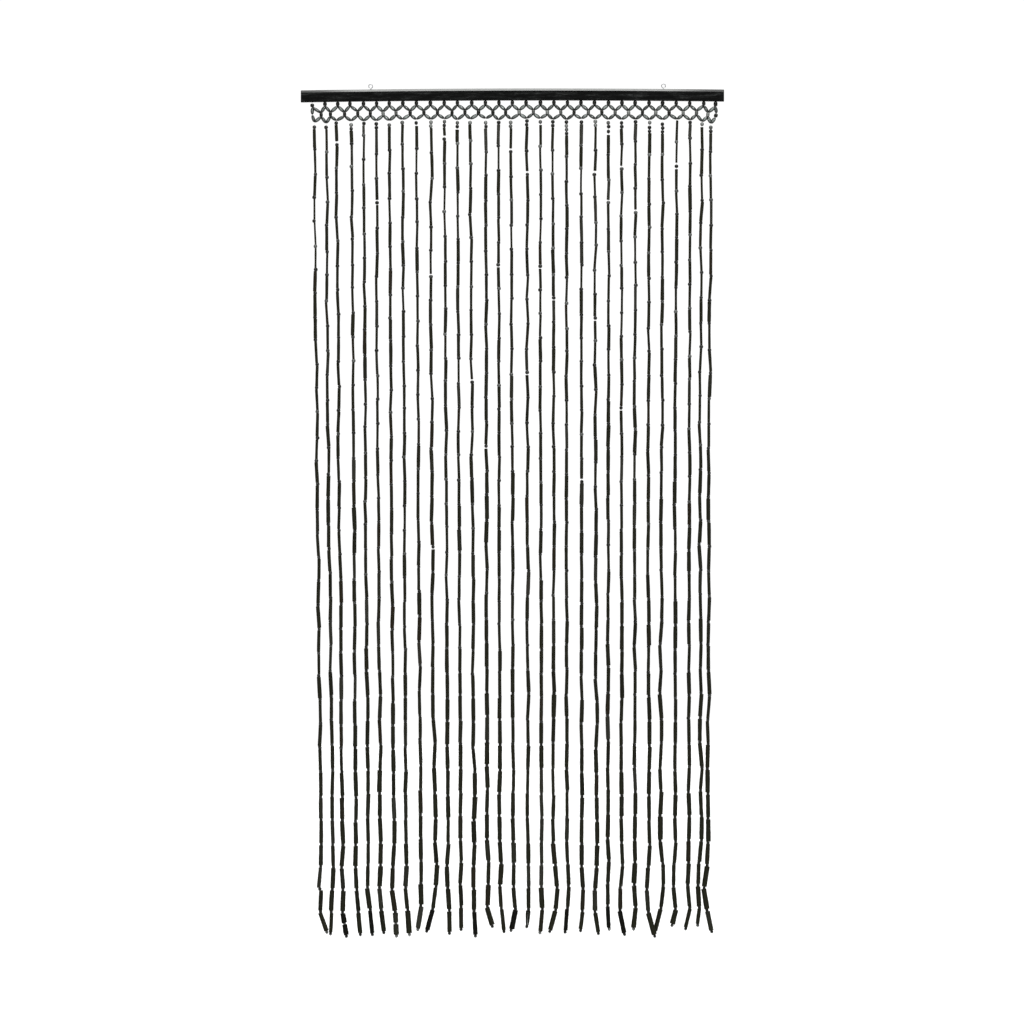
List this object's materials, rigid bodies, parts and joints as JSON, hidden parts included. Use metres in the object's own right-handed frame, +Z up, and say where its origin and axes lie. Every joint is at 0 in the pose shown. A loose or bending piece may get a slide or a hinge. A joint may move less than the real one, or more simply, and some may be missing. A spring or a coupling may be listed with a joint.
{
  "type": "bamboo door curtain with its head rail",
  "caption": "Bamboo door curtain: a dark wooden head rail on screw eyes, a lattice of beads under it, and hanging strands of bamboo tubes and round beads.",
  "frame": {"origin": "middle of the head rail's flat back face", "axes": "+Z up, along the strands; +X along the rail, to the right from the front; +Y out of the rail's back face, so the front is -Y"},
  "size_m": [1, 0.0273, 2.0189],
  "materials": {
    "stained_wood": "black stain over planed softwood, fine pale grain streaks",
    "zinc_steel": "zinc plated wire",
    "black_bamboo": "black stained bamboo with an olive cast, satin",
    "lattice_bead": "glossy dark green-grey beads",
    "thread": "thin pale nylon thread"
  },
  "bodies": {
    "root": {"head_rail": "stained_wood", "eye_left": "zinc_steel", "eye_right": "zinc_steel", "bead_strands": "black_bamboo"}
  },
  "joints": []
}
